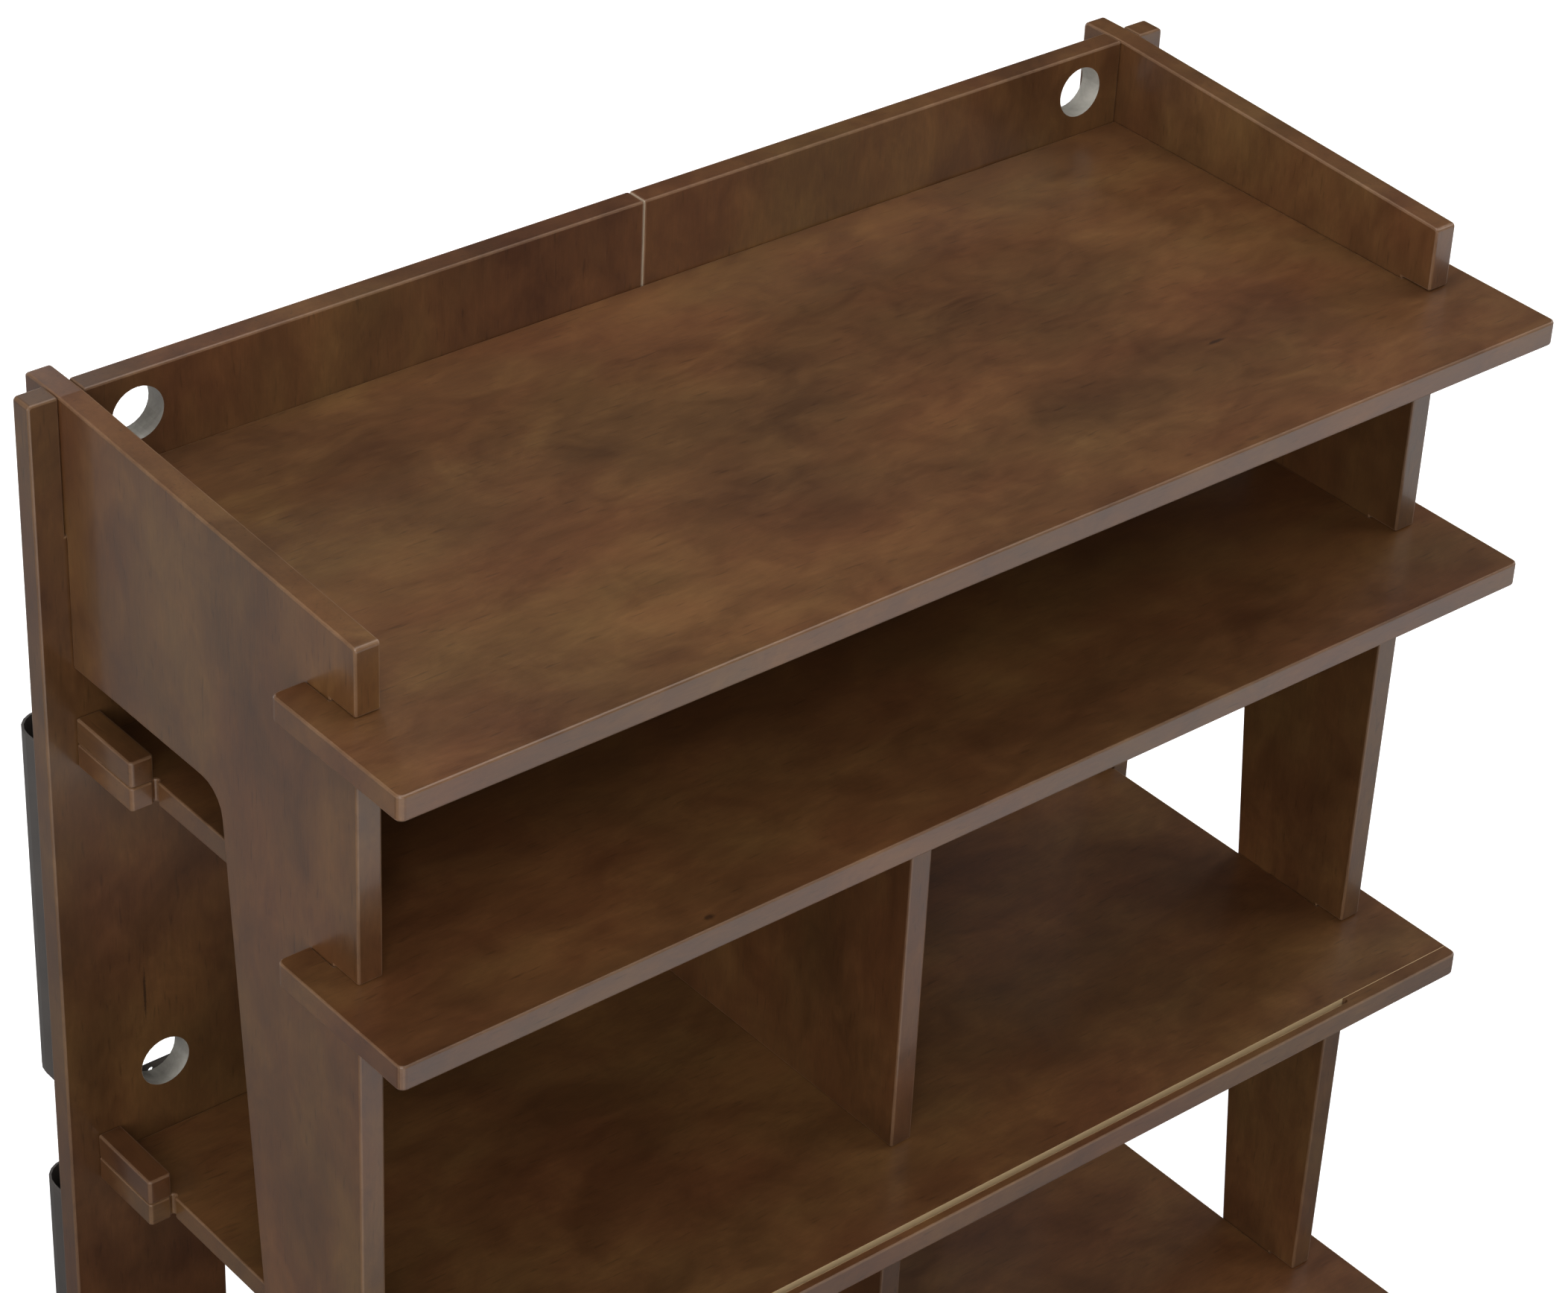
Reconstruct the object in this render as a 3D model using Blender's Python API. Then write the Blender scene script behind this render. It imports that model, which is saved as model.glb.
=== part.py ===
"""Record album stand: four shelves, two side panels and a two-piece back, slotted together.

Lengths are in metres. +Z is up, the front of the stand faces -Y, and the origin is on the floor
at the centre of the footprint. Widths are measured from the centre line, depths backwards from
the front edge of the shelves, and levels upwards from the floor.
"""

import math

import bmesh
import bpy
from mathutils import Vector

# Boards
BOARD = 0.018
GAP = 0.0003
EASE = 0.0015
EASE_STEPS = 2
EASE_ANGLE = math.radians(40)
SMOOTH_ANGLE = math.radians(35)
ARC_STEP = math.radians(18)

# Shelves
WIDTH = 0.960
TOP_LEVEL = 0.965
SHELF_LEVELS = {
    "shelf_top": TOP_LEVEL,
    "shelf_amplifier": TOP_LEVEL - 0.194,
    "shelf_display": TOP_LEVEL - 0.539,
    "shelf_bottom": TOP_LEVEL - 0.884,
}
EAR_DEPTH = 0.130
EAR_CORNER = 0.005
TAB_DEPTH = 0.3315
TAB_CORNER = 0.003
RELIEF_RADIUS = 0.0022
RELIEF_TURN = math.radians(270)
RELIEF_STEPS = 8

# Side panels
SIDE_OUTER = WIDTH / 2 - 0.025
SIDE_INNER = SIDE_OUTER - BOARD
SIDE_FRONT = 0.079
LAP_DEPTH = (SIDE_FRONT + EAR_DEPTH) / 2
ARM_FRONT = 0.048
ARM_REAR = 0.0635
CUT_OUT_DROP = 0.135
CUT_OUT_RADIUS = 0.022
LEG_REAR_AT_TOP = 0.2397
LEG_TAPER = 0.0911
HOOK_REAR = 0.436
HOOK_DROP = 0.090
ARM_CORNER = 0.003

# Back board, in two halves that meet on the centre line
BACK_FRONT = 0.396
BACK_REAR = BACK_FRONT + BOARD
BACK_HALF_WIDTH = 0.477
BACK_LAP_DROP = 0.036
BACK_LEG_WIDTH = 0.121
BACK_RAIL_DROP = 0.600
BACK_INNER_CORNER = 0.025
SEAM = 0.0006
HOLE_RADIUS = 0.019
HOLE_ACROSS = 0.399
HOLE_SIDES = 28
HOLE_DROPS = (-0.0335, 0.101, 0.481)

# Groove that holds a sleeve upright on the display shelf
GROOVE_FRONT = 0.0065
GROOVE_REAR = 0.0118
GROOVE_HALF_LENGTH = 0.372
GROOVE_DEPTH = 0.006
GROOVE_END_FILL = 0.98

# Lock blocks behind the shelf ends
BLOCK_HEIGHT = 0.020

# Cable channels on the back: each is open towards the board, with a screw flange above its mouth
CHANNEL_OUTER = 0.472
CHANNEL_WIDTH = 0.110
CHANNEL_MIDDLE = CHANNEL_OUTER - CHANNEL_WIDTH / 2
CHANNEL_DEPTH = 0.038
CHANNEL_WALL = 0.0018
CHANNEL_CORNER = 0.020
CHANNEL_LENGTH = 0.280
CHANNEL_TOP_DROPS = {"upper": 0.200, "lower": 0.580}
FLANGE_HEIGHT = 0.085
FLANGE_LAP = 0.030
FLANGE_CORNER = 0.008
TIE_HOLE_RADIUS = 0.0023
TIE_HOLE_ACROSS = 0.017
TIE_HOLE_BELOW_EDGE = 0.0055
TIE_HOLE_SIDES = 12
SCREW_HEAD_RADIUS = 0.0042
SCREW_HEAD_HEIGHT = 0.0022
SCREW_ACROSS = 0.036
SCREW_BELOW_EDGE = 0.034
SCREW_SIDES = 12
SCREW_RINGS = 3
SCREW_RIM = 0.3
SLOT_WIDTH = 0.0011
SLOT_DEPTH = 0.0011

TOTAL_DEPTH = BACK_REAR + CHANNEL_DEPTH
SIDES = {"left": -1, "right": 1}

WALNUT_FACE = (0.060, 0.026, 0.013, 1.0)
WALNUT_DARK = (0.045, 0.019, 0.010, 1.0)
WALNUT_ROUGHNESS = 0.35
CHANNEL_GREY = (0.052, 0.058, 0.060, 1.0)
CHANNEL_ROUGHNESS = 0.42
SCREW_GREY = (0.30, 0.30, 0.31, 1.0)
SCREW_ROUGHNESS = 0.30


def clear_scene():
    for item in list(bpy.data.objects):
        bpy.data.objects.remove(item, do_unlink=True)


def lying(across, depth, level):
    """A point of a flat board: its outline runs across and in depth."""
    return Vector((across, depth - TOTAL_DEPTH / 2, level))


def side_on(depth, level, across):
    """A point of a side panel or divider: its outline runs in depth and up."""
    return lying(across, depth, level)


def facing(across, level, depth):
    """A point of the back board: its outline runs across and up."""
    return lying(across, depth, level)


def fillet(before, corner, after, radius):
    """Points that round an outline's corner, whether it turns out or in."""
    to_before = (before - corner).normalized()
    to_after = (after - corner).normalized()
    opening = to_before.angle(to_after)
    reach = radius / math.tan(opening / 2)
    centre = corner + (to_before + to_after).normalized() * (radius / math.sin(opening / 2))
    start = corner + to_before * reach - centre
    turn = (math.pi - opening) * math.copysign(1, to_after.cross(to_before))
    steps = max(2, math.ceil(abs(turn) / ARC_STEP))
    points = []
    for step in range(steps + 1):
        angle = turn * step / steps
        cosine = math.cos(angle)
        sine = math.sin(angle)
        points.append(centre + Vector((cosine * start.x - sine * start.y, sine * start.x + cosine * start.y)))
    return points


def relief(before, corner, after, radius):
    """Points of the round cutter mark that clears a notch's inner corner."""
    start = (before - corner).normalized() * radius
    end = (after - corner).normalized() * radius
    turn = math.copysign(RELIEF_TURN, end.cross(start))
    points = []
    for step in range(RELIEF_STEPS + 1):
        angle = turn * step / RELIEF_STEPS
        cosine = math.cos(angle)
        sine = math.sin(angle)
        points.append(corner + Vector((cosine * start.x - sine * start.y, sine * start.x + cosine * start.y)))
    return points


def outline(corners):
    """Points of a closed outline. A corner is (u, v), (u, v, radius) or (u, v, radius, 'relief')."""
    flat = [Vector(corner[:2]) for corner in corners]
    points = []
    for index, corner in enumerate(corners):
        before = flat[index - 1]
        after = flat[(index + 1) % len(flat)]
        if len(corner) == 4:
            points += relief(before, flat[index], after, corner[2])
        elif len(corner) == 3:
            points += fillet(before, flat[index], after, corner[2])
        else:
            points.append(flat[index])
    return points


def mirrored(corners):
    """The same outline on the other side of the centre line."""
    return [(-corner[0], *corner[1:]) for corner in corners]


def whole(right_half):
    """A closed symmetric outline from the corners of its right half."""
    return right_half + mirrored(right_half)[::-1]


def add_object(name, shape, parent=None):
    """An object named after its sub-part, from a finished bmesh."""
    bmesh.ops.recalc_face_normals(shape, faces=shape.faces)
    mesh = bpy.data.meshes.new(name)
    shape.to_mesh(mesh)
    shape.free()
    mesh.shade_smooth()
    mesh.set_sharp_from_angle(angle=SMOOTH_ANGLE)
    item = bpy.data.objects.new(name, mesh)
    item.parent = parent
    bpy.context.scene.collection.objects.link(item)
    return item


def add_prism(shape, points, low, high, place):
    """Adds a closed prism of this outline, between two distances along its own axis."""
    base = [shape.verts.new(place(point.x, point.y, low)) for point in points]
    lid = [shape.verts.new(place(point.x, point.y, high)) for point in points]
    shape.faces.new(base)
    shape.faces.new(lid)
    for index in range(len(points)):
        after = (index + 1) % len(points)
        shape.faces.new((base[index], base[after], lid[after], lid[index]))


def board(name, corners, low, high, place, parent):
    shape = bmesh.new()
    add_prism(shape, outline(corners), low, high, place)
    return add_object(name, shape, parent)


def cutter(name, points, low, high, place):
    """A wire-drawn solid that only removes material from others."""
    shape = bmesh.new()
    add_prism(shape, points, low, high, place)
    tool = add_object(name, shape)
    tool.hide_render = True
    tool.display_type = "WIRE"
    return tool


def cut(item, tool):
    modifier = item.modifiers.new("cut_" + tool.name, "BOOLEAN")
    modifier.operation = "DIFFERENCE"
    modifier.solver = "EXACT"
    modifier.object = tool


def ease_edges(item):
    """The small rounding that a board's edges have all the way round."""
    modifier = item.modifiers.new("eased_edges", "BEVEL")
    modifier.width = EASE
    modifier.segments = EASE_STEPS
    modifier.limit_method = "ANGLE"
    modifier.angle_limit = EASE_ANGLE


def give_material(item, colour, roughness, metallic=0.0):
    material = bpy.data.materials.new(item.name)
    material.use_nodes = True
    shader = material.node_tree.nodes["Principled BSDF"]
    shader.inputs["Base Color"].default_value = colour
    shader.inputs["Roughness"].default_value = roughness
    shader.inputs["Metallic"].default_value = metallic
    item.data.materials.append(material)


def leg_rear(level):
    """Depth of a front leg's rear edge, which comes forward towards the floor."""
    return LEG_REAR_AT_TOP - LEG_TAPER * (TOP_LEVEL - level)


def circle(across, level, radius, sides):
    turns = [2 * math.pi * step / sides for step in range(sides)]
    return [Vector((across + radius * math.cos(turn), level + radius * math.sin(turn))) for turn in turns]


def shelf_corners(has_tabs):
    """Right half of a shelf: front ear, lap slot for the side panel and, if any, the rear tab."""
    corners = [
        (WIDTH / 2, 0.0, EAR_CORNER),
        (WIDTH / 2, EAR_DEPTH, EAR_CORNER),
        (SIDE_OUTER + GAP, EAR_DEPTH),
        (SIDE_OUTER + GAP, LAP_DEPTH),
        (SIDE_INNER - GAP, LAP_DEPTH),
    ]
    if has_tabs:
        corners.append((SIDE_INNER - GAP, TAB_DEPTH, RELIEF_RADIUS, "relief"))
        corners.append((SIDE_OUTER, TAB_DEPTH, TAB_CORNER))
        corners.append((SIDE_OUTER, BACK_FRONT - GAP))
    else:
        corners.append((SIDE_INNER - GAP, BACK_FRONT - GAP))
    return corners


def add_shelf(name, level, parent):
    corners = whole(shelf_corners(has_tabs=name != "shelf_top"))
    item = board(name, corners, level - BOARD, level, lying, parent)
    ease_edges(item)
    if name == "shelf_display":
        cut(item, groove_cutter(level))
    give_material(item, WALNUT_FACE, WALNUT_ROUGHNESS)


def groove_cutter(level):
    """A long slot with round ends."""
    half_width = (GROOVE_REAR - GROOVE_FRONT) / 2
    right_half = [
        (GROOVE_HALF_LENGTH, GROOVE_FRONT, half_width * GROOVE_END_FILL),
        (GROOVE_HALF_LENGTH, GROOVE_REAR, half_width * GROOVE_END_FILL),
    ]
    points = outline(whole(right_half))
    return cutter("groove_cutter", points, level - GROOVE_DEPTH, level + GROOVE_DEPTH, lying)


def shelf_slots():
    """Front edge of a side panel from the floor up, with one slot for each shelf."""
    corners = [(SIDE_FRONT, 0.0, ARM_CORNER)]
    for level in sorted(SHELF_LEVELS.values()):
        under = level - BOARD - GAP
        over = level + GAP
        corners.append((SIDE_FRONT, under))
        corners.append((LAP_DEPTH + GAP, under))
        corners.append((LAP_DEPTH + GAP, over))
        corners.append((SIDE_FRONT, over))
    return corners


def side_corners():
    """A side panel: arm above the top shelf, deep upper part hooked on the back, tapered front leg."""
    cut_out = TOP_LEVEL - CUT_OUT_DROP
    arm_rear = TOP_LEVEL + ARM_REAR
    lap = TOP_LEVEL - BACK_LAP_DROP
    return shelf_slots() + [
        (SIDE_FRONT, TOP_LEVEL + ARM_FRONT, ARM_CORNER),
        (BACK_FRONT, arm_rear),
        (HOOK_REAR, arm_rear, ARM_CORNER),
        (HOOK_REAR, TOP_LEVEL - HOOK_DROP, ARM_CORNER),
        (BACK_REAR + GAP, TOP_LEVEL - HOOK_DROP),
        (BACK_REAR + GAP, lap),
        (BACK_FRONT - GAP, lap),
        (BACK_FRONT - GAP, cut_out),
        (leg_rear(cut_out), cut_out, CUT_OUT_RADIUS),
        (leg_rear(0.0), 0.0, ARM_CORNER),
    ]


def add_side(name, hand, parent):
    low = min(hand * SIDE_INNER, hand * SIDE_OUTER)
    item = board(name, side_corners(), low, low + BOARD, side_on, parent)
    ease_edges(item)
    give_material(item, WALNUT_DARK, WALNUT_ROUGHNESS)


def back_corners():
    """Right half of the back board: slotted over the side panel, with one rear leg."""
    top = TOP_LEVEL + ARM_REAR
    lap = TOP_LEVEL - BACK_LAP_DROP - GAP
    rail = TOP_LEVEL - BACK_RAIL_DROP
    leg_inner = BACK_HALF_WIDTH - BACK_LEG_WIDTH
    return [
        (SEAM / 2, top),
        (SIDE_INNER - GAP, top),
        (SIDE_INNER - GAP, lap),
        (SIDE_OUTER + GAP, lap),
        (SIDE_OUTER + GAP, top),
        (BACK_HALF_WIDTH, top, ARM_CORNER),
        (BACK_HALF_WIDTH, 0.0, ARM_CORNER),
        (leg_inner, 0.0, ARM_CORNER),
        (leg_inner, rail, BACK_INNER_CORNER),
        (SEAM / 2, rail),
    ]


def add_back(name, hand, hole_tools, parent):
    corners = back_corners() if hand > 0 else mirrored(back_corners())
    item = board(name, corners, BACK_FRONT, BACK_REAR, facing, parent)
    ease_edges(item)
    for tool in hole_tools:
        cut(item, tool)
    give_material(item, WALNUT_DARK, WALNUT_ROUGHNESS)


def hole_cutters(name, hand):
    tools = []
    for number, drop in enumerate(HOLE_DROPS, start=1):
        points = circle(hand * HOLE_ACROSS, TOP_LEVEL - drop, HOLE_RADIUS, HOLE_SIDES)
        low = BACK_FRONT - BOARD
        high = BACK_REAR + BOARD
        tools.append(cutter(f"{name}_hole_cutter_{number}", points, low, high, facing))
    return tools


def add_divider(name, floor_level, ceiling_level, parent):
    """A centre upright that splits a record bay in two."""
    corners = [
        (SIDE_FRONT, floor_level + GAP),
        (BACK_FRONT - GAP, floor_level + GAP),
        (BACK_FRONT - GAP, ceiling_level - GAP),
        (SIDE_FRONT, ceiling_level - GAP),
    ]
    item = board(name, corners, -BOARD / 2, BOARD / 2, side_on, parent)
    ease_edges(item)
    give_material(item, WALNUT_DARK, WALNUT_ROUGHNESS)


def add_lock_block(name, hand, level, parent):
    """A small block on a shelf's rear tab, tight against the back board."""
    corners = [
        (hand * SIDE_INNER, TAB_DEPTH, TAB_CORNER),
        (hand * SIDE_OUTER, TAB_DEPTH, TAB_CORNER),
        (hand * SIDE_OUTER, BACK_FRONT - GAP),
        (hand * SIDE_INNER, BACK_FRONT - GAP),
    ]
    item = board(name, corners, level + GAP, level + BLOCK_HEIGHT, lying, parent)
    ease_edges(item)
    give_material(item, WALNUT_FACE, WALNUT_ROUGHNESS)


def channel_ring(hand, inset, front):
    """Plan of a channel's outer or inner wall: square against the board, round at the rear."""
    near = hand * (CHANNEL_OUTER - inset)
    far = hand * (CHANNEL_OUTER - CHANNEL_WIDTH + inset)
    rear = BACK_REAR + CHANNEL_DEPTH - inset
    radius = CHANNEL_CORNER - inset
    return outline([(near, front), (near, rear, radius), (far, rear, radius), (far, front)])


def add_channel(name, hand, top, parent):
    """A cable channel, open at both ends and towards the board, with its flange above the mouth."""
    front = BACK_REAR + GAP
    bottom = top - CHANNEL_LENGTH
    shape = bmesh.new()
    add_prism(shape, channel_ring(hand, 0.0, front), bottom, top, lying)
    item = add_object(name, shape, parent)
    bore = channel_ring(hand, CHANNEL_WALL, front - CHANNEL_WALL)
    cut(item, cutter(name + "_bore_cutter", bore, bottom - BOARD, top + BOARD, lying))
    join = item.modifiers.new("join_flange", "BOOLEAN")
    join.operation = "UNION"
    join.solver = "EXACT"
    join.object = flange(name + "_flange", hand, top, front)
    for tool in tie_hole_cutters(name, hand, top, front):
        cut(item, tool)
    give_material(item, CHANNEL_GREY, CHANNEL_ROUGHNESS)


def flange(name, hand, top, front):
    """The plate that bridges a channel's mouth and rises above it, with round upper corners."""
    near = hand * CHANNEL_OUTER
    far = hand * (CHANNEL_OUTER - CHANNEL_WIDTH)
    corners = [
        (near, top - FLANGE_LAP),
        (far, top - FLANGE_LAP),
        (far, top + FLANGE_HEIGHT, FLANGE_CORNER),
        (near, top + FLANGE_HEIGHT, FLANGE_CORNER),
    ]
    return cutter(name, outline(corners), front, front + CHANNEL_WALL, facing)


def tie_hole_cutters(name, hand, top, front):
    """Two small holes for a cable tie, just under the flange's upper edge."""
    level = top + FLANGE_HEIGHT - TIE_HOLE_BELOW_EDGE
    tools = []
    for number, offset in enumerate((-TIE_HOLE_ACROSS, TIE_HOLE_ACROSS), start=1):
        across = hand * CHANNEL_MIDDLE + offset
        points = circle(across, level, TIE_HOLE_RADIUS, TIE_HOLE_SIDES)
        low = front - CHANNEL_WALL
        high = front + 2 * CHANNEL_WALL
        tools.append(cutter(f"{name}_tie_hole_cutter_{number}", points, low, high, facing))
    return tools


def add_screw(name, across, level, parent):
    """A domed, slotted head with its flat side on the flange, as a turned profile."""
    seat = BACK_REAR + CHANNEL_WALL + 2 * GAP
    shape = bmesh.new()
    rings = []
    for ring in range(SCREW_RINGS):
        turn = math.pi / 2 * max(ring - 1, 0) / (SCREW_RINGS - 1)
        rise = SCREW_RIM * min(ring, 1) + (1 - SCREW_RIM) * math.sin(turn)
        points = circle(across, level, SCREW_HEAD_RADIUS * math.cos(turn), SCREW_SIDES)
        depth = seat + SCREW_HEAD_HEIGHT * rise
        rings.append([shape.verts.new(facing(point.x, point.y, depth)) for point in points])
    shape.faces.new(rings[0])
    shape.faces.new(rings[-1])
    for lower, upper in zip(rings, rings[1:]):
        for index in range(SCREW_SIDES):
            after = (index + 1) % SCREW_SIDES
            shape.faces.new((lower[index], lower[after], upper[after], upper[index]))
    item = add_object(name, shape, parent)
    cut(item, screw_slot(name + "_slot_cutter", across, level, seat))
    give_material(item, SCREW_GREY, SCREW_ROUGHNESS, metallic=1.0)


def screw_slot(name, across, level, seat):
    half_length = SCREW_HEAD_RADIUS + SLOT_WIDTH
    corners = [
        (across - half_length, level - SLOT_WIDTH / 2),
        (across + half_length, level - SLOT_WIDTH / 2),
        (across + half_length, level + SLOT_WIDTH / 2),
        (across - half_length, level + SLOT_WIDTH / 2),
    ]
    bottom = seat + SCREW_HEAD_HEIGHT - SLOT_DEPTH
    return cutter(name, outline(corners), bottom, bottom + 2 * SLOT_DEPTH, facing)


def screw_places():
    """Centres of the screws, two in each channel's flange."""
    for hand in SIDES.values():
        for drop in CHANNEL_TOP_DROPS.values():
            level = TOP_LEVEL - drop + FLANGE_HEIGHT - SCREW_BELOW_EDGE
            for offset in (-SCREW_ACROSS, SCREW_ACROSS):
                yield hand * CHANNEL_MIDDLE + offset, level


def build():
    clear_scene()
    stand = bpy.data.objects.new("stand", None)
    bpy.context.scene.collection.objects.link(stand)
    for name, level in SHELF_LEVELS.items():
        add_shelf(name, level, stand)
    display = SHELF_LEVELS["shelf_display"]
    add_divider("divider_upper", display, SHELF_LEVELS["shelf_amplifier"] - BOARD, stand)
    add_divider("divider_lower", SHELF_LEVELS["shelf_bottom"], display - BOARD, stand)
    for side, hand in SIDES.items():
        add_side("side_" + side, hand, stand)
        back = "back_" + side
        add_back(back, hand, hole_cutters(back, hand), stand)
        for tier in ("amplifier", "display", "bottom"):
            add_lock_block(f"lock_block_{tier}_{side}", hand, SHELF_LEVELS["shelf_" + tier], stand)
        for place, drop in CHANNEL_TOP_DROPS.items():
            add_channel(f"cable_channel_{place}_{side}", hand, TOP_LEVEL - drop, stand)
    for number, (across, level) in enumerate(screw_places(), start=1):
        add_screw(f"channel_screw_{number}", across, level, stand)


build()
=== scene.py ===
"""Looks of the record album stand: walnut-stained boards, grey cable channels, studio floor and light.

Everything is in metres in the stand's own frame: +Z up, front towards -Y, floor at 0. Each board is a
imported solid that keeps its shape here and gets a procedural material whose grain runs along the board.
"""

import math

import bpy
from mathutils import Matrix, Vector

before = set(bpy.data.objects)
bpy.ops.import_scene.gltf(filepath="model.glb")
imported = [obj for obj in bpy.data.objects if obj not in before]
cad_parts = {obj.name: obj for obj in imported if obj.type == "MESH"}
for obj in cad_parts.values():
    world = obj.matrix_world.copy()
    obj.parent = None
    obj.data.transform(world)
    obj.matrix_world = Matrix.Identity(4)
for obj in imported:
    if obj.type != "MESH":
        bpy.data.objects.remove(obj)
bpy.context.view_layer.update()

WHITE = (1.0, 1.0, 1.0, 1.0)
BLACK = (0.0, 0.0, 0.0, 1.0)

# Camera
CAMERA_PLACE = (-1.6496, -1.8947, 2.4072)
CAMERA_TURN = (56.7541, -2.4722, -39.3554)
CAMERA_LENS = 101.702
CAMERA_SENSOR = 36.0

# Seen floor and wall
FLOOR_RADIUS = 40.0
FLOOR_SIDES = 96
FLOOR_COLOUR = (0.90, 0.90, 0.90, 1.0)
FLOOR_GLOW = 0.66
FLOOR_ROUGHNESS = (0.75, 0.85)
WALL_GLOW = 0.95
WALL_HEIGHT = 30.0
WALL_ROUGHNESS = (0.80, 0.90)
STAGE_NOISE_SCALE = 3.0
SKY_STRENGTH = 0.05

# Disc that the lacquer mirrors in place of the floor: distance from and to, brightness from and to
SHEEN_DROP = 0.001
SHEEN_FRONT = (-0.35, -1.0, 0.20, 1.55)
SHEEN_AROUND = (0.6, 1.8, 0.18, 0.42)

# Softboxes: place, side and power. All point at the middle of the stand
SOFTBOX_TARGET = (0.0, 0.0, 0.7)
SOFTBOXES = {
    "overhead": ((0.2, -0.2, 3.6), 2.6, 45.0),
    "front_left": ((-2.0, -2.9, 3.3), 2.0, 60.0),
    "front_right": ((3.0, -2.2, 3.3), 2.0, 35.0),
    "front_left_low": ((-3.2, -3.0, 1.5), 2.0, 50.0),
    "left": ((-3.8, -0.3, 2.4), 2.0, 50.0),
    "right": ((3.8, 0.3, 2.4), 2.0, 35.0),
    "rear": ((0.5, 3.8, 2.2), 2.0, 20.0),
    "rear_low": ((-0.6, 3.4, 0.9), 1.8, 45.0),
}

# Places on the stand that carry a mark: the same driving dimensions as the boards are cut to
TOP_LEVEL = 0.965
AMPLIFIER_LEVEL = TOP_LEVEL - 0.194
SHELF_FRONT = -0.226

# Grain: the axis that the fibres follow on each kind of board, and a painted shade per kind: upright boards
# darker, as less light falls on them
QUARTER_TURN = math.radians(90)
GRAIN_TURN = {"x": (0.0, 0.0, 0.0), "y": (0.0, 0.0, QUARTER_TURN), "z": (0.0, QUARTER_TURN, 0.0)}
BOARD_GRAIN = {"shelf": "x", "side": "z", "back": "z", "divider": "z", "lock": "y"}
BOARD_PAINTED_SHADE = {"shelf": 1.0, "side": 0.95, "back": 0.88, "divider": 1.0, "lock": 0.92}
SHEET_STEP = (1.37, 0.83, 2.11)

# Veneer noise layers: stretch along the grain, scale, detail, roughness, distortion
CLOUDS = (0.75, 6.0, 3.0, 0.55, 0.2)
MOTTLE = (0.60, 27.0, 7.0, 0.66, 0.5)
FLECKS = (0.22, 260.0, 3.0, 0.60, 0.3)
FIBRES = (0.030, 1300.0, 2.0, 0.5, 0.0)
DASHES = (0.14, 420.0, 1.0, 0.4, 0.0)
TINTS = (0.65, 7.0, 3.0, 0.6, 0.0)

# Walnut stain from darkest to lightest, and the tints that drift across it
STAIN = (
    (0.0, (0.066, 0.0270, 0.0105, 1.0)),
    (0.5, (0.110, 0.0480, 0.0175, 1.0)),
    (1.0, (0.162, 0.0770, 0.0265, 1.0)),
)
STAIN_RANGE = (0.35, 0.65)
RED_TINT = (1.05, 0.93, 0.93, 1.0)
OLIVE_TINT = (0.97, 1.03, 0.97, 1.0)
TINT_RANGE = (0.36, 0.64)
PORE_RANGE = (0.66, 0.78)
PORE_DARKENING = 0.28
FLECK_CONTRAST = 0.44
FIBRE_CONTRAST = 0.12

# Eased edges, lighter partly where the stain is rubbed thin and partly as a painted highlight: how far the
# face's normal is off the axes, colour and share
EASED_RANGE = (0.985, 0.95)
EDGE_WEAR_AND_HIGHLIGHT = (0.300, 0.180, 0.105, 1.0)
EDGE_WEAR_AND_HIGHLIGHT_SHARE = 0.30
EDGE_WEAR_AND_HIGHLIGHT_CONTRAST = 0.7

# Lacquer
BASE_IOR = 1.45
BASE_ROUGHNESS = 0.26
MOTTLE_ROUGHNESS = 0.12
FLECK_ROUGHNESS = 0.08
COAT_SHARE = 0.20
COAT_ROUGHNESS = 0.11
COAT_IOR = 1.5
GRAIN_BUMP = 0.16
PORE_RELIEF = 0.8
FLECK_RELIEF = 0.6
BUMP_DEPTH = 0.0002

# Cut walls of the cable holes in the back boards: pale grey, a painted reflection of the white surroundings
HOLE_ACROSS = 0.399
HOLE_DROPS = (-0.0335, 0.101, 0.481)
HOLE_WALL_REACH = 0.01904
HOLE_WALL_REFLECTION = ((0.25, 0.235, 0.205, 1.0), (0.50, 0.475, 0.420, 1.0))

# Rear wall of the sleeve groove, coloured lighter as a painted highlight where it faces the bright front
GROOVE_REAR = SHELF_FRONT + 0.0118
GROOVE_REACH = 0.0002
GROOVE_WALL_HIGHLIGHT = (0.620, 0.450, 0.250, 1.0)

# Painted highlight on the edges of the back boards' centre seam
SEAM_REACH = 0.0009
SEAM_HIGHLIGHT = (0.420, 0.330, 0.240, 1.0)

# Dark marks in the veneer: board, centre, half length along the grain, half width
KNOTS = {
    "shelf_top": ((0.268, -0.112, TOP_LEVEL), 0.0085, 0.0020),
    "shelf_amplifier": ((-0.241, -0.216, AMPLIFIER_LEVEL), 0.0045, 0.0028),
    "back_left": ((-0.413, 0.170, 0.548), 0.024, 0.0012),
}
KNOT_COLOUR = (0.022, 0.010, 0.005, 1.0)
KNOT_NOISE_SCALE = 420.0
KNOT_WAVINESS = 0.9
KNOT_EDGE = (1.55, 0.95)
KNOT_SHARE = 0.75

# Powder coat of the cable channels
COAT_GREY = ((0.054, 0.046, 0.041, 1.0), (0.080, 0.067, 0.059, 1.0))
DUST_SCALE = 30.0
DUST_RANGE = (0.35, 0.70)
DUST_ROUGHNESS = 0.18
POWDER_ROUGHNESS = 0.30
PEEL_SCALE = 900.0
PEEL_BUMP = 0.12

# Zinc plating of the screw heads
ZINC = ((0.42, 0.42, 0.43, 1.0), (0.62, 0.62, 0.64, 1.0))
ZINC_NOISE_SCALE = 2500.0
ZINC_ROUGHNESS = 0.20
ZINC_WEAR = 0.25


def start_material(name):
    """A new material, its node tree and its shader node."""
    material = bpy.data.materials.new(name)
    material.use_nodes = True
    return material, material.node_tree, material.node_tree.nodes["Principled BSDF"]


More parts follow.
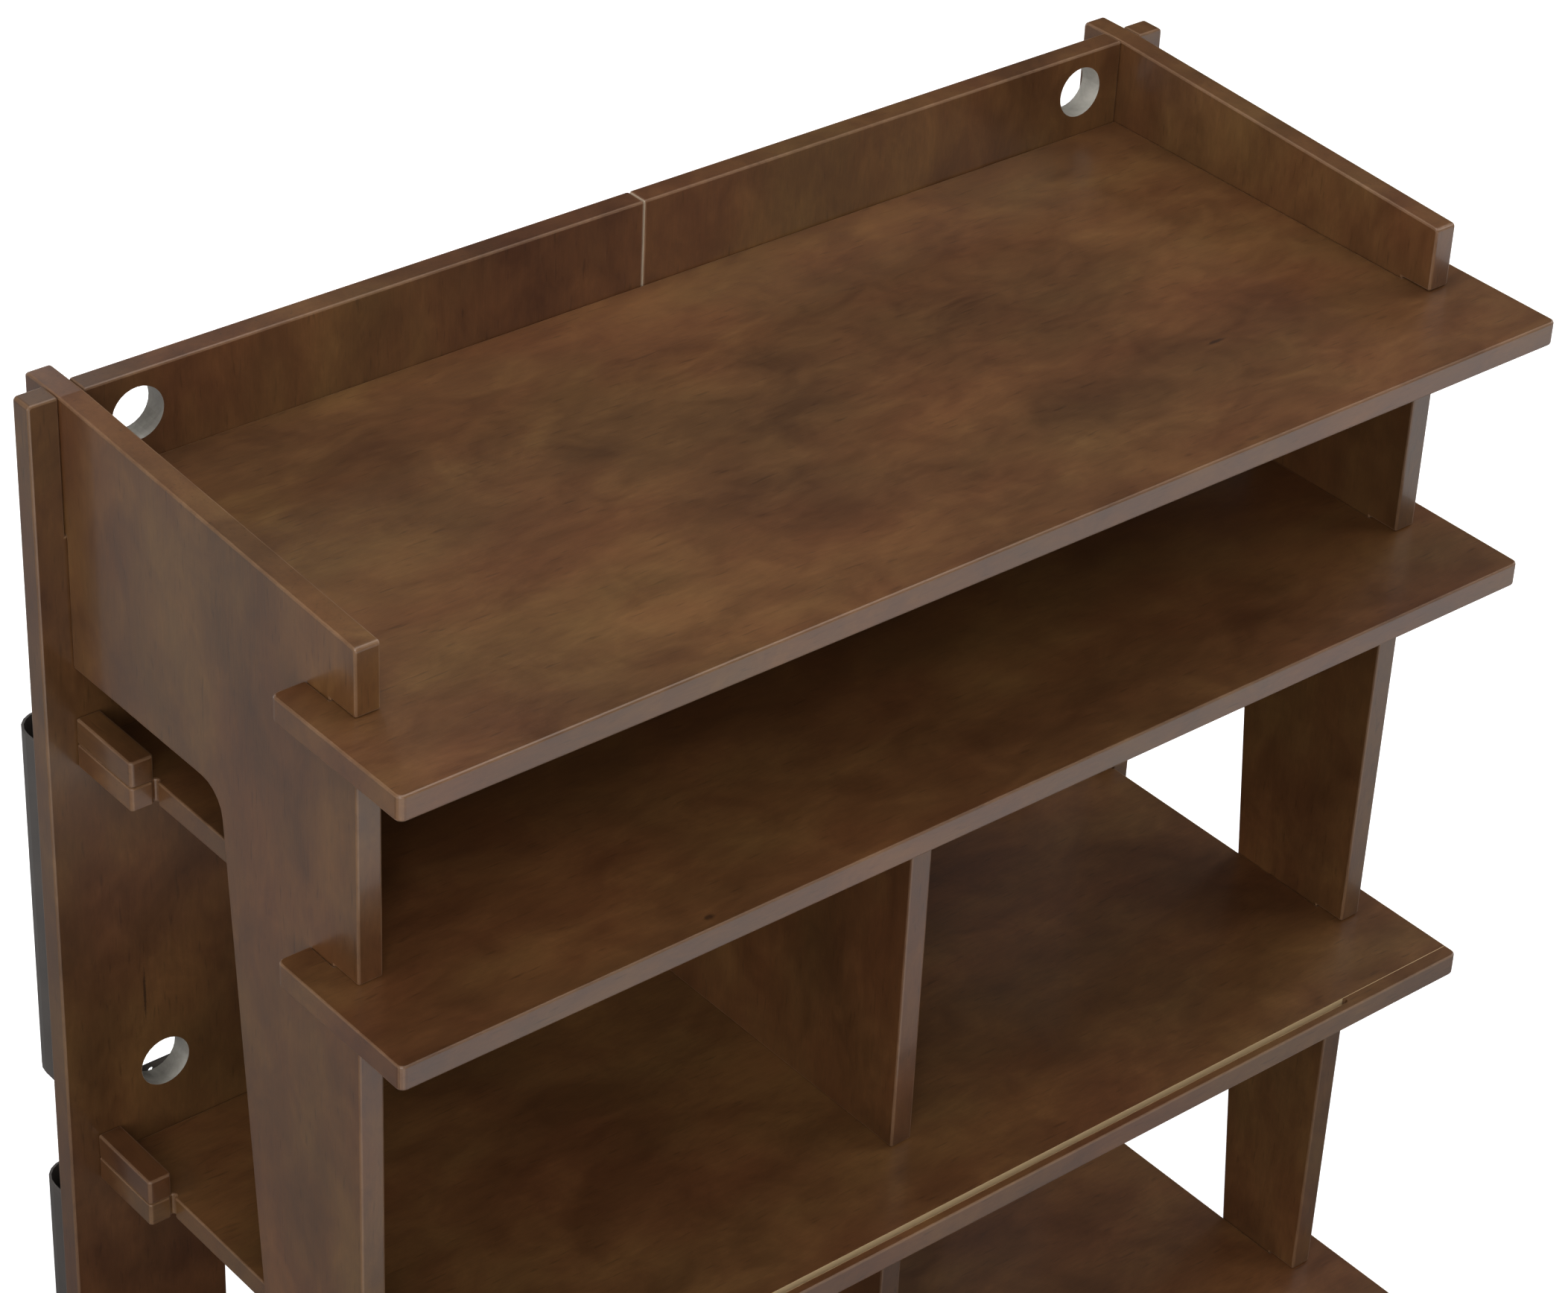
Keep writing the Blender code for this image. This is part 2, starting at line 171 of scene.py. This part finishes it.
def put(tree, socket, value):
    """Links a socket to an output, or gives it a plain value."""
    if isinstance(value, bpy.types.NodeSocket):
        tree.links.new(value, socket)
    else:
        socket.default_value = value


def node(tree, kind, inputs=None, **settings):
    """Adds a node. Each input is a value, or an output socket to link from."""
    made = tree.nodes.new(kind)
    for key, value in settings.items():
        setattr(made, key, value)
    for key, value in (inputs or {}).items():
        put(tree, made.inputs[key], value)
    return made


def maths(tree, operation, first, second=0.0, third=0.0):
    return node(tree, "ShaderNodeMath", {0: first, 1: second, 2: third}, operation=operation).outputs[0]


def blend_of(tree, value, factor, added):
    """value * factor + added."""
    return maths(tree, "MULTIPLY_ADD", value, factor, added)


def scaled(tree, vector, factors):
    return node(tree, "ShaderNodeVectorMath", {0: vector, 1: factors}, operation="MULTIPLY").outputs[0]


def length_of(tree, vector):
    return node(tree, "ShaderNodeVectorMath", {0: vector}, operation="LENGTH").outputs["Value"]


def offset_from(tree, place, centre):
    return node(tree, "ShaderNodeVectorMath", {0: place, 1: centre}, operation="SUBTRACT").outputs[0]


def parts_of(tree, vector):
    return node(tree, "ShaderNodeSeparateXYZ", {"Vector": vector}).outputs


def object_place(tree):
    return node(tree, "ShaderNodeTexCoord").outputs["Object"]


def noise(tree, vector, scale, detail=2.0, roughness=0.5, distortion=0.0):
    inputs = {"Vector": vector, "Scale": scale, "Detail": detail}
    inputs.update({"Roughness": roughness, "Distortion": distortion})
    return node(tree, "ShaderNodeTexNoise", inputs).outputs["Fac"]


def grain_layer(tree, along, layer):
    """Noise drawn out along the grain."""
    stretch, *settings = layer
    return noise(tree, scaled(tree, along, (stretch, 1.0, 1.0)), *settings)


def ranged(tree, value, low, high, to_low=0.0, to_high=1.0):
    inputs = {"Value": value, "From Min": low, "From Max": high, "To Min": to_low, "To Max": to_high}
    return node(tree, "ShaderNodeMapRange", inputs).outputs["Result"]


def mixed(tree, factor, first, second, blend="MIX"):
    made = node(tree, "ShaderNodeMix", data_type="RGBA", blend_type=blend)
    for key, value in ((0, factor), (6, first), (7, second)):
        put(tree, made.inputs[key], value)
    return made.outputs[2]


def ramp(tree, value, stops):
    made = node(tree, "ShaderNodeValToRGB", {"Fac": value})
    elements = made.color_ramp.elements
    while len(elements) < len(stops):
        elements.new(0.5)
    for element, (place, colour) in zip(elements, stops):
        element.position = place
        element.color = colour
    return made.outputs["Color"]


def grey(tree, value):
    return node(tree, "ShaderNodeCombineColor", {0: value, 1: value, 2: value}).outputs[0]


def bumped(tree, height, strength):
    inputs = {"Height": height, "Strength": strength, "Distance": BUMP_DEPTH}
    return node(tree, "ShaderNodeBump", inputs).outputs["Normal"]


def eased_mask(tree):
    """1 on a board's rounded edges and corners, 0 on its flat faces."""
    normal = node(tree, "ShaderNodeNewGeometry").outputs["True Normal"]
    sizes = node(tree, "ShaderNodeVectorMath", {0: normal}, operation="ABSOLUTE").outputs[0]
    parts = parts_of(tree, sizes)
    greatest = maths(tree, "MAXIMUM", parts["Y"], parts["Z"])
    greatest = maths(tree, "MAXIMUM", parts["X"], greatest)
    return ranged(tree, greatest, *EASED_RANGE)


def hole_wall_mask(tree, place, hand):
    """1 on the walls of one back board's three cable holes."""
    mask = 0.0
    for drop in HOLE_DROPS:
        offset = offset_from(tree, place, (hand * HOLE_ACROSS, 0.0, TOP_LEVEL - drop))
        reach = length_of(tree, scaled(tree, offset, (1.0, 0.0, 1.0)))
        mask = maths(tree, "ADD", mask, maths(tree, "LESS_THAN", reach, HOLE_WALL_REACH))
    return mask


def near_mask(tree, value, centre, reach):
    """1 where a coordinate is within reach of a plane."""
    offset = maths(tree, "SUBTRACT", value, centre)
    return maths(tree, "LESS_THAN", maths(tree, "ABSOLUTE", offset), reach)


def knot_mask(tree, place, grain, knot):
    """Strongest inside a small wavy ellipse drawn out along the grain, 0 outside it."""
    centre, half_length, half_width = knot
    sizes = [1 / half_width, 1 / half_width, 1 / half_width]
    sizes["xyz".index(grain)] = 1 / half_length
    reach = length_of(tree, scaled(tree, offset_from(tree, place, centre), sizes))
    wavy = blend_of(tree, noise(tree, place, KNOT_NOISE_SCALE), KNOT_WAVINESS, reach)
    return ranged(tree, wavy, *KNOT_EDGE, 0.0, KNOT_SHARE)


def stained(tree, clouds, mottle, tints):
    """The stain's colour: cloudy, with a slow drift from reddish to olive."""
    depth = blend_of(tree, mottle, 0.5, maths(tree, "MULTIPLY", clouds, 0.5))
    stain = ramp(tree, ranged(tree, depth, *STAIN_RANGE), STAIN)
    tint = mixed(tree, ranged(tree, tints, *TINT_RANGE), RED_TINT, OLIVE_TINT)
    return mixed(tree, 1.0, stain, tint, "MULTIPLY")


def grain_and_painted_shade(tree, kind, flecks, fibres, pores):
    """How flecks, fibres and pores darken the stain, about the board kind's painted shade."""
    # Painted shade: each kind of board is darkened by how little light falls on it
    shade = blend_of(tree, flecks, FLECK_CONTRAST, BOARD_PAINTED_SHADE[kind] - FLECK_CONTRAST / 2)
    streaks = blend_of(tree, fibres, FIBRE_CONTRAST, 1.0 - FIBRE_CONTRAST / 2)
    shade = maths(tree, "MULTIPLY", shade, streaks)
    return maths(tree, "MULTIPLY", shade, blend_of(tree, pores, -PORE_DARKENING, 1.0))


def marked(tree, name, grain, place, mottle, colour):
    """Adds the marks that only some boards carry: knots, a painted highlight on the groove wall, a painted
    reflection on the hole walls and a painted highlight on the seam.
    """
    if name in KNOTS:
        colour = mixed(tree, knot_mask(tree, place, grain, KNOTS[name]), colour, KNOT_COLOUR)
    if name == "shelf_display":
        # Painted highlight: the groove's rear wall is coloured light where it catches light from the front
        groove = near_mask(tree, parts_of(tree, place)["Y"], GROOVE_REAR, GROOVE_REACH)
        colour = mixed(tree, groove, colour, GROOVE_WALL_HIGHLIGHT)
    if name.startswith("back"):
        hand = 1 if name.endswith("right") else -1
        # Painted reflection: the hole walls are coloured pale grey as if mirroring the white surroundings
        wall = mixed(tree, ranged(tree, mottle, *STAIN_RANGE), *HOLE_WALL_REFLECTION)
        colour = mixed(tree, hole_wall_mask(tree, place, hand), colour, wall)
        # Painted highlight: the seam's edges are coloured pale as if catching the light
        seam = near_mask(tree, parts_of(tree, place)["X"], 0.0, SEAM_REACH)
        colour = mixed(tree, seam, colour, SEAM_HIGHLIGHT)
    return colour


def walnut(name, kind, offset):
    """Stained veneer: cloudy stain, streaks and short pores along the grain, satin lacquer."""
    material, tree, shader = start_material("walnut_" + name)
    place = object_place(tree)
    grain = BOARD_GRAIN[kind]
    turned = {"Vector": place, "Location": offset, "Rotation": GRAIN_TURN[grain]}
    along = node(tree, "ShaderNodeMapping", turned).outputs["Vector"]
    clouds = grain_layer(tree, along, CLOUDS)
    mottle = grain_layer(tree, along, MOTTLE)
    flecks = grain_layer(tree, along, FLECKS)
    fibres = grain_layer(tree, along, FIBRES)
    pores = ranged(tree, grain_layer(tree, along, DASHES), *PORE_RANGE)

    colour = stained(tree, clouds, mottle, grain_layer(tree, along, TINTS))
    shade = grain_and_painted_shade(tree, kind, flecks, fibres, pores)
    colour = mixed(tree, 1.0, colour, grey(tree, shade), "MULTIPLY")
    # Eased edges get a lighter colour: partly stain rubbed thin, partly a painted highlight
    edge_wear_and_highlight = blend_of(tree, mottle, EDGE_WEAR_AND_HIGHLIGHT_CONTRAST, EDGE_WEAR_AND_HIGHLIGHT_SHARE - EDGE_WEAR_AND_HIGHLIGHT_CONTRAST / 2)
    colour = mixed(tree, maths(tree, "MULTIPLY", eased_mask(tree), edge_wear_and_highlight), colour, EDGE_WEAR_AND_HIGHLIGHT)
    colour = marked(tree, name, grain, place, mottle, colour)

    relief = blend_of(tree, pores, -PORE_RELIEF, blend_of(tree, flecks, FLECK_RELIEF, fibres))
    gloss = blend_of(tree, mottle, MOTTLE_ROUGHNESS, blend_of(tree, flecks, FLECK_ROUGHNESS, BASE_ROUGHNESS))
    put(tree, shader.inputs["Base Color"], colour)
    put(tree, shader.inputs["Roughness"], gloss)
    put(tree, shader.inputs["Normal"], bumped(tree, relief, GRAIN_BUMP))
    put(tree, shader.inputs["IOR"], BASE_IOR)
    put(tree, shader.inputs["Coat Weight"], COAT_SHARE)
    put(tree, shader.inputs["Coat Roughness"], COAT_ROUGHNESS)
    put(tree, shader.inputs["Coat IOR"], COAT_IOR)
    return material


def channel_grey():
    """Smooth powder coat on bent sheet, a little dusty, with a faint orange-peel surface."""
    material, tree, shader = start_material("channel_coat")
    place = object_place(tree)
    peel = noise(tree, place, PEEL_SCALE)
    dust = noise(tree, place, DUST_SCALE, 4.0, 0.6)
    colour = mixed(tree, ranged(tree, dust, *DUST_RANGE), *COAT_GREY)
    put(tree, shader.inputs["Base Color"], colour)
    put(tree, shader.inputs["Roughness"], blend_of(tree, dust, DUST_ROUGHNESS, POWDER_ROUGHNESS))
    put(tree, shader.inputs["Normal"], bumped(tree, peel, PEEL_BUMP))
    return material


def zinc():
    """Zinc-plated screw heads with fine turning marks."""
    material, tree, shader = start_material("screw_zinc")
    marks = noise(tree, object_place(tree), ZINC_NOISE_SCALE, 3.0, 0.6)
    put(tree, shader.inputs["Base Color"], mixed(tree, marks, *ZINC))
    put(tree, shader.inputs["Roughness"], blend_of(tree, marks, ZINC_WEAR, ZINC_ROUGHNESS))
    put(tree, shader.inputs["Metallic"], 1.0)
    return material


def dress(nodes):
    """Gives each board its own sheet of veneer, each channel the powder coat and each screw its plating."""
    coat = channel_grey()
    plated = zinc()
    for number, name in enumerate(sorted(nodes)):
        kind = name.split("_")[0]
        if kind in BOARD_GRAIN:
            material = walnut(name, kind, [number * step for step in SHEET_STEP])
        elif kind == "cable":
            material = coat
        else:
            material = plated
        nodes[name].data.materials.clear()
        nodes[name].data.materials.append(material)


def glowing(name, colour):
    """A material without gloss that glows white, its strength still to be set."""
    material, tree, shader = start_material(name)
    put(tree, shader.inputs["Base Color"], colour)
    put(tree, shader.inputs["Specular IOR Level"], 0.0)
    put(tree, shader.inputs["Emission Color"], WHITE)
    return material, tree, shader


def studio_white(name, glow, roughness_range):
    """Matt white that glows a little, so that it stays pale all round the stand."""
    material, tree, shader = glowing(name, FLOOR_COLOUR)
    patches = noise(tree, object_place(tree), STAGE_NOISE_SCALE)
    put(tree, shader.inputs["Emission Strength"], glow)
    put(tree, shader.inputs["Roughness"], ranged(tree, patches, 0.0, 1.0, *roughness_range))
    return material


def floor_sheen():
    """What the lacquer mirrors of the floor: bright out in front and dimmer behind."""
    material, tree, shader = glowing("studio_floor_sheen", BLACK)
    place = object_place(tree)
    front = ranged(tree, parts_of(tree, place)["Y"], *SHEEN_FRONT)
    around = ranged(tree, length_of(tree, place), *SHEEN_AROUND)
    put(tree, shader.inputs["Emission Strength"], maths(tree, "MAXIMUM", front, around))
    return material


def ring_of_points(radius, level):
    turns = [2 * math.pi * step / FLOOR_SIDES for step in range(FLOOR_SIDES)]
    return [(radius * math.cos(turn), radius * math.sin(turn), level) for turn in turns]


def add_stage_piece(name, points, faces, material):
    """Scenery round the stand, left out of its diffuse light: the softboxes and the sky give that."""
    mesh = bpy.data.meshes.new(name)
    mesh.from_pydata(points, [], faces)
    mesh.materials.append(material)
    piece = bpy.data.objects.new(name, mesh)
    piece.visible_diffuse = False
    bpy.context.scene.collection.objects.link(piece)
    return piece


def add_floor():
    """A wide pale disc and wall that only the camera sees.

    Just under the disc lies another, hidden from the camera, which is what the lacquer mirrors instead.
    """
    rim = ring_of_points(FLOOR_RADIUS, 0.0)
    whole = [tuple(range(FLOOR_SIDES))]
    white = studio_white("studio_floor", FLOOR_GLOW, FLOOR_ROUGHNESS)
    floor = add_stage_piece("floor", rim, whole, white)
    floor.visible_glossy = False

    sheen = add_stage_piece("floor_sheen", ring_of_points(FLOOR_RADIUS, -SHEEN_DROP), whole, floor_sheen())
    sheen.visible_camera = False

    upper_rim = ring_of_points(FLOOR_RADIUS, WALL_HEIGHT)
    panels = []
    for step in range(FLOOR_SIDES):
        after = (step + 1) % FLOOR_SIDES
        panels.append((step, after, after + FLOOR_SIDES, step + FLOOR_SIDES))
    lit = studio_white("studio_wall", WALL_GLOW, WALL_ROUGHNESS)
    wall = add_stage_piece("wall", rim + upper_rim, panels, lit)
    wall.visible_glossy = False


def add_softbox(name, place, size, power):
    data = bpy.data.lights.new(name, "AREA")
    data.shape = "SQUARE"
    data.size = size
    data.energy = power
    light = bpy.data.objects.new(name, data)
    light.location = place
    aim = Vector(SOFTBOX_TARGET) - Vector(place)
    light.rotation_euler = aim.to_track_quat("-Z", "Y").to_euler()
    bpy.context.scene.collection.objects.link(light)


def add_light():
    world = bpy.data.worlds.new("studio")
    world.use_nodes = True
    sky = world.node_tree.nodes["Background"]
    sky.inputs["Color"].default_value = WHITE
    sky.inputs["Strength"].default_value = SKY_STRENGTH
    bpy.context.scene.world = world
    for name, (place, size, power) in SOFTBOXES.items():
        add_softbox(name + "_softbox", place, size, power)


def add_camera():
    data = bpy.data.cameras.new("camera")
    data.sensor_fit = "HORIZONTAL"
    data.sensor_width = CAMERA_SENSOR
    data.lens = CAMERA_LENS
    camera = bpy.data.objects.new("camera", data)
    camera.location = CAMERA_PLACE
    camera.rotation_euler = [math.radians(turn) for turn in CAMERA_TURN]
    bpy.context.scene.collection.objects.link(camera)
    bpy.context.scene.camera = camera
    bpy.context.scene.view_settings.view_transform = "Standard"


dress(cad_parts)
add_floor()
add_light()
add_camera()
